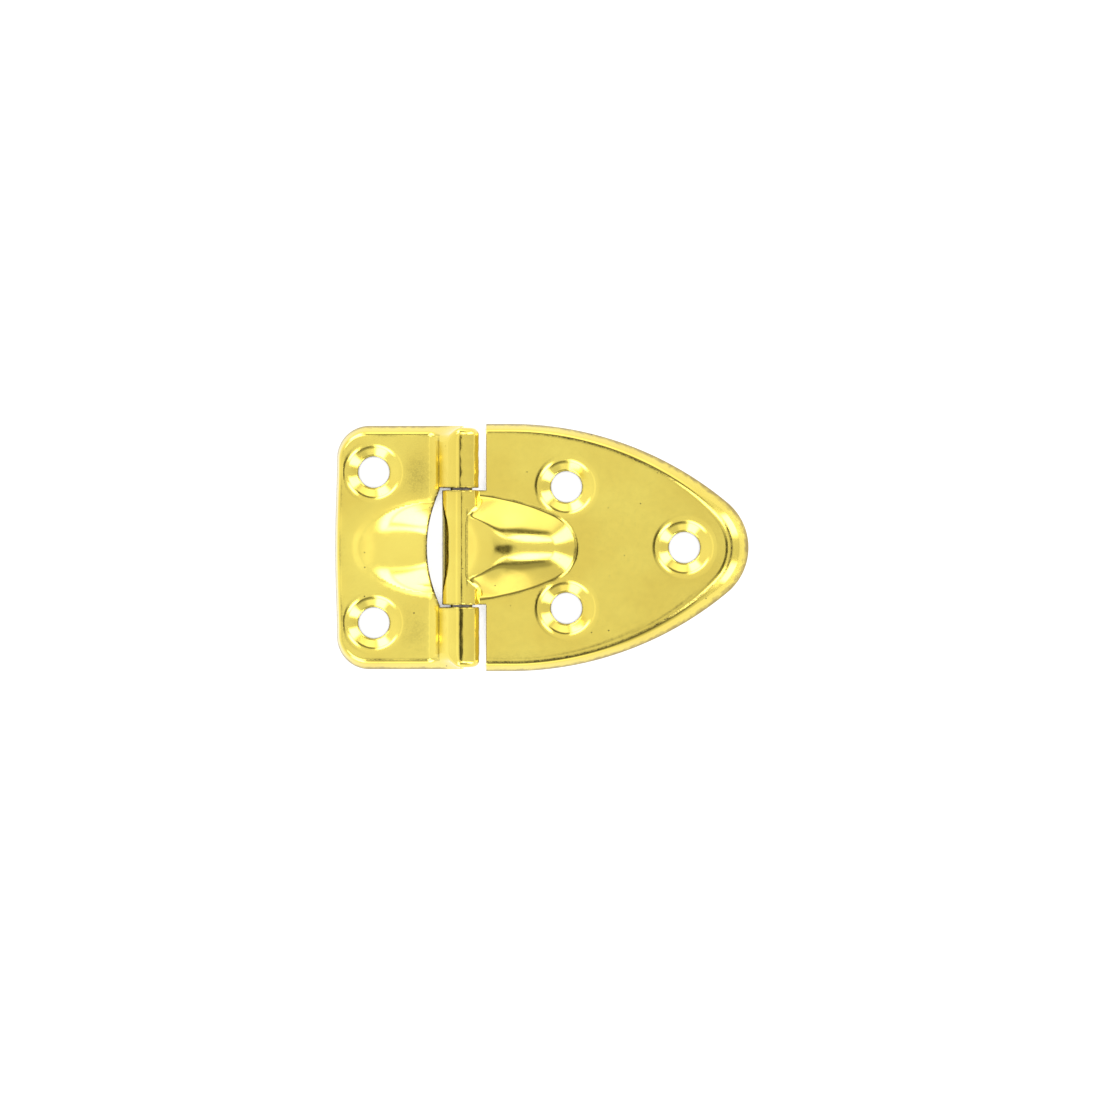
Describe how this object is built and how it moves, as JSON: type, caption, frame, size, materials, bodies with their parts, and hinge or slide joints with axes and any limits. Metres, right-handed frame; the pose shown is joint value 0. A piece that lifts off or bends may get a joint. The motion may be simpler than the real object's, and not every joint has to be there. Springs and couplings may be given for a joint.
{
  "type": "lid stop hinge",
  "caption": "Pressed, plated steel lid stop hinge: a pointed leaf and a short leaf on a captive pin, with domes that meet and stop the lid when it is open.",
  "frame": {"origin": "on the mounting plane, straight below the pin's axis at the middle of its length", "axes": "+X along the long leaf towards its point, +Y along the pin, +Z out of the mounting plane towards the domes"},
  "size_m": [0.0637, 0.0382, 0.007],
  "materials": {
    "plated_sheet": "bright brass plating on pressed steel",
    "pin_steel": "plain drawn steel wire"
  },
  "bodies": {
    "case_half": {"short_leaf": "plated_sheet", "hinge_pin": "pin_steel"},
    "lid_half": {"long_leaf": "plated_sheet"}
  },
  "joints": [
    {"name": "lid_swing", "type": "hinge", "parent": "case_half", "child": "lid_half", "pos_m": [0, 0, 0.0033], "axis": [0, -1, 0], "range_deg": [-96, 112]}
  ]
}
